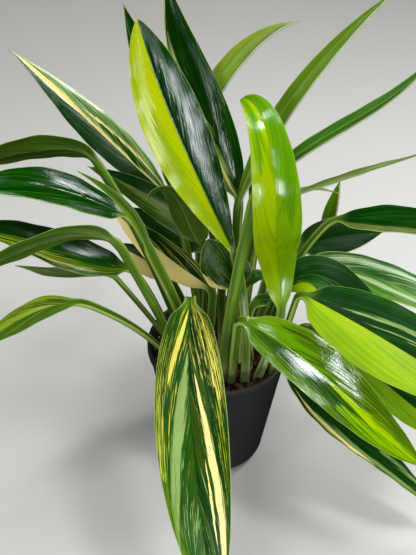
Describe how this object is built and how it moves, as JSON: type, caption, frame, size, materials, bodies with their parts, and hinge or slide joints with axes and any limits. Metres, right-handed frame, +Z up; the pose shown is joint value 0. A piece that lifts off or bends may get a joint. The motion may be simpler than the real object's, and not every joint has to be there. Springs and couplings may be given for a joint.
{
  "type": "potted houseplant",
  "caption": "Potted pothos with long arching variegated leaves on grooved stalks, standing in soil in a plain round tapered nursery pot with drain holes.",
  "frame": {"origin": "centre of the pot's flat underside, which stands on z = 0", "axes": "+Z up along the pot's axis, -Y towards the side the picture shows, +X to its right"},
  "size_m": [0.4439, 0.4073, 0.4597],
  "materials": {
    "pot_plastic": "satin",
    "potting_soil": "matte",
    "stem_green": "satin",
    "leaf_streaked": "gloss",
    "leaf_lime": "gloss",
    "leaf_dark": "gloss",
    "leaf_olive": "satin",
    "leaf_cream": "gloss",
    "leaf_pale": "satin"
  },
  "bodies": {
    "root": {"pot": "pot_plastic", "soil": "potting_soil", "crown_front": "stem_green", "crown_right": "stem_green", "crown_left": "stem_green", "crown_middle": "stem_green", "crown_far": "stem_green", "leaf_front_hanging": "leaf_streaked", "leaf_speckled": "leaf_streaked", "leaf_upper_left": "leaf_streaked", "leaf_left_wide": "leaf_streaked", "leaf_right_streaked": "leaf_streaked", "leaf_back_middle": "leaf_streaked", "leaf_front_lime": "leaf_lime", "leaf_right_large": "leaf_lime", "leaf_middle_lime": "leaf_lime", "leaf_tall_lime": "leaf_lime", "leaf_left_low": "leaf_lime", "leaf_young_upright": "leaf_lime", "leaf_front_low": "leaf_dark", "leaf_right_under": "leaf_dark", "leaf_tall_twin": "leaf_dark", "leaf_top_dark": "leaf_dark", "leaf_left_glossy": "leaf_dark", "leaf_behind_left": "leaf_dark", "leaf_right_dark": "leaf_dark", "leaf_right_inner": "leaf_dark", "leaf_right_high": "leaf_dark", "leaf_inner_low": "leaf_dark", "leaf_inner_arched": "leaf_dark", "leaf_back_left": "leaf_dark", "leaf_back_right": "leaf_dark", "leaf_tall_stalk": "leaf_olive", "leaf_spear": "leaf_olive", "leaf_left_high": "leaf_olive", "leaf_left_narrow": "leaf_olive", "leaf_curled": "leaf_olive", "leaf_left_arched": "leaf_olive", "leaf_top_right": "leaf_olive", "leaf_top_middle": "leaf_olive", "leaf_cream": "leaf_cream", "leaf_left_inner": "leaf_cream", "leaf_left_small": "leaf_pale", "leaf_thin_arc": "leaf_pale", "leaf_thin_right": "leaf_pale"}
  },
  "joints": []
}
